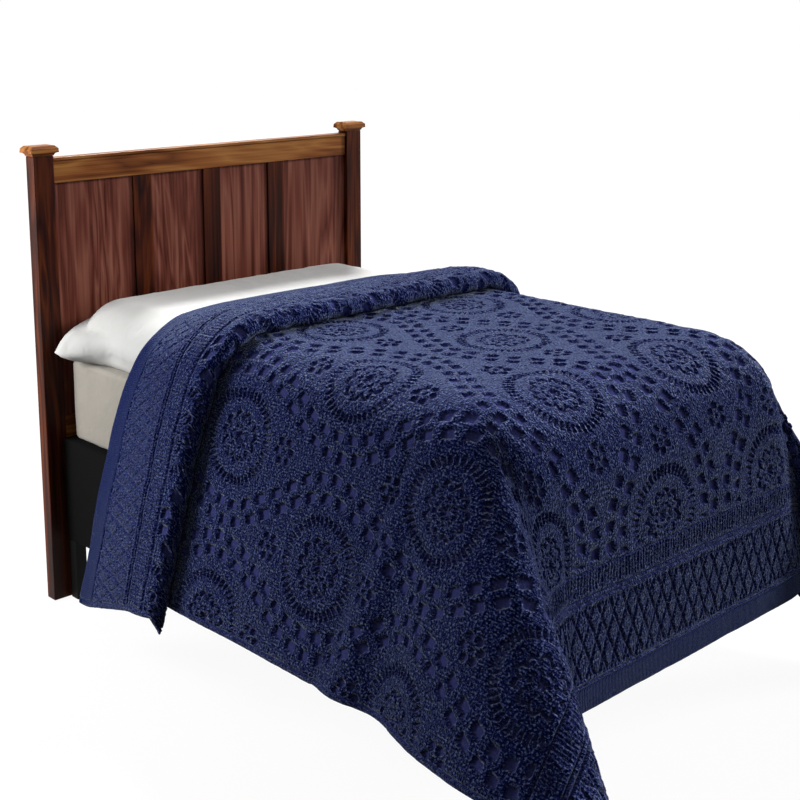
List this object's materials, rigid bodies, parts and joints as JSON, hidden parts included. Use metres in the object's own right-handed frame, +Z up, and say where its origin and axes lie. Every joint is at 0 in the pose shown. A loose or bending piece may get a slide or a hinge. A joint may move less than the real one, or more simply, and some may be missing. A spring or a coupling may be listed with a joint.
{
  "type": "chenille bedspread on a bed",
  "caption": "Tufted chenille bedspread draped over a plain made-up bed with a panelled wooden headboard, its head end pleated back into a thick roll.",
  "frame": {"origin": "on the floor, under the middle of the whole object's box", "axes": "+Y towards the head of the bed, +X towards the right-hand side of the bed as seen from its foot, +Z up"},
  "size_m": [1.9304, 2.5062, 1.4883],
  "materials": {
    "chenille": "deep tufted cotton pile, matt",
    "quilted_cotton": "smooth white cotton, matt",
    "mattress_ticking": "plain ticking, matt",
    "base_fabric": "plain dark cover, matt",
    "black_paint": "black paint, matt",
    "stained_wood": "dark red-brown stain, satin",
    "panel_wood": "dark red-brown stain, satin"
  },
  "bodies": {
    "root": {"bedspread": "chenille", "topper": "quilted_cotton", "mattress": "mattress_ticking", "base": "base_fabric", "leg_head_left": "black_paint", "leg_head_right": "black_paint", "leg_middle_left": "black_paint", "leg_middle_right": "black_paint", "leg_foot_left": "black_paint", "leg_foot_right": "black_paint", "post_left": "stained_wood", "post_right": "stained_wood", "post_cap_left": "stained_wood", "post_cap_right": "stained_wood", "top_ledge": "stained_wood", "top_rail": "stained_wood", "bottom_rail": "stained_wood", "muntin_1": "stained_wood", "muntin_2": "stained_wood", "muntin_3": "stained_wood", "panel_1": "panel_wood", "panel_2": "panel_wood", "panel_3": "panel_wood", "panel_4": "panel_wood"}
  },
  "joints": []
}
